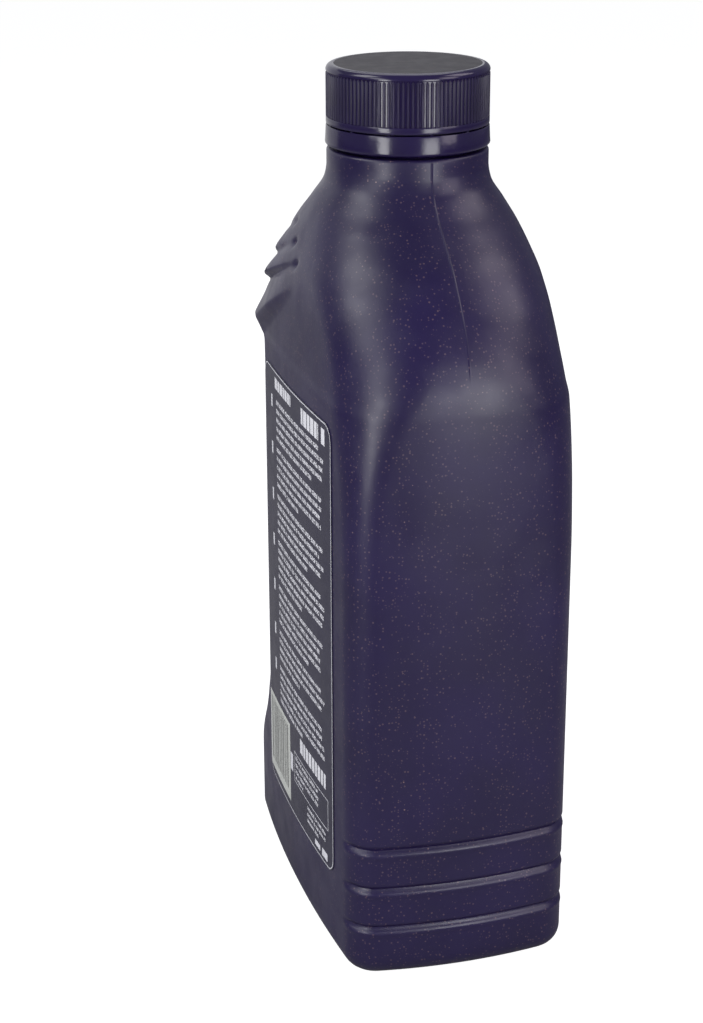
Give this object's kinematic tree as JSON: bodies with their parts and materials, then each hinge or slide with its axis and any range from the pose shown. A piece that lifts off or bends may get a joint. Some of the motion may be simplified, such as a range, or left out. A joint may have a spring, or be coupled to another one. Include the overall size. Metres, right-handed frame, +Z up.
{
  "type": "motor oil bottle",
  "caption": "Hollow blow-moulded motor oil bottle with grip waist, ribbed shoulder, screw cap that unscrews, tamper ring, sealing liner and labels.",
  "frame": {"origin": "centre of the foot on the surface the bottle stands on, below the neck's axis", "axes": "+Z up along the neck's axis, +X towards the smooth narrow side opposite the grip, -Y out of the back label's face"},
  "size_m": [0.1111, 0.068, 0.228],
  "materials": {
    "body_plastic": "satin",
    "cap_plastic": "gloss",
    "ring_plastic": "gloss",
    "liner_foam": "matte",
    "label_film": "satin",
    "oil": "gloss"
  },
  "bodies": {
    "bottle": {"bottle_body": "body_plastic", "tamper_ring": "ring_plastic", "back_label": "label_film", "front_label": "label_film", "oil": "oil"},
    "liner": {"cap_liner": "liner_foam"},
    "cap": {"screw_cap": "cap_plastic"}
  },
  "joints": [
    {"name": "cap_lift", "type": "slide", "parent": "bottle", "child": "liner", "axis": [0, 0, 1], "range_m": [0, 0.01694]},
    {"name": "cap_turn", "type": "hinge", "parent": "liner", "child": "cap", "pos_m": [0, 0, 0.22], "axis": [0, 0, 1], "range_deg": [0, 1440]}
  ],
  "couplings": [
    {"joint": "cap_lift", "follows": "cap_turn", "m_per_rad": 0.0006737}
  ]
}
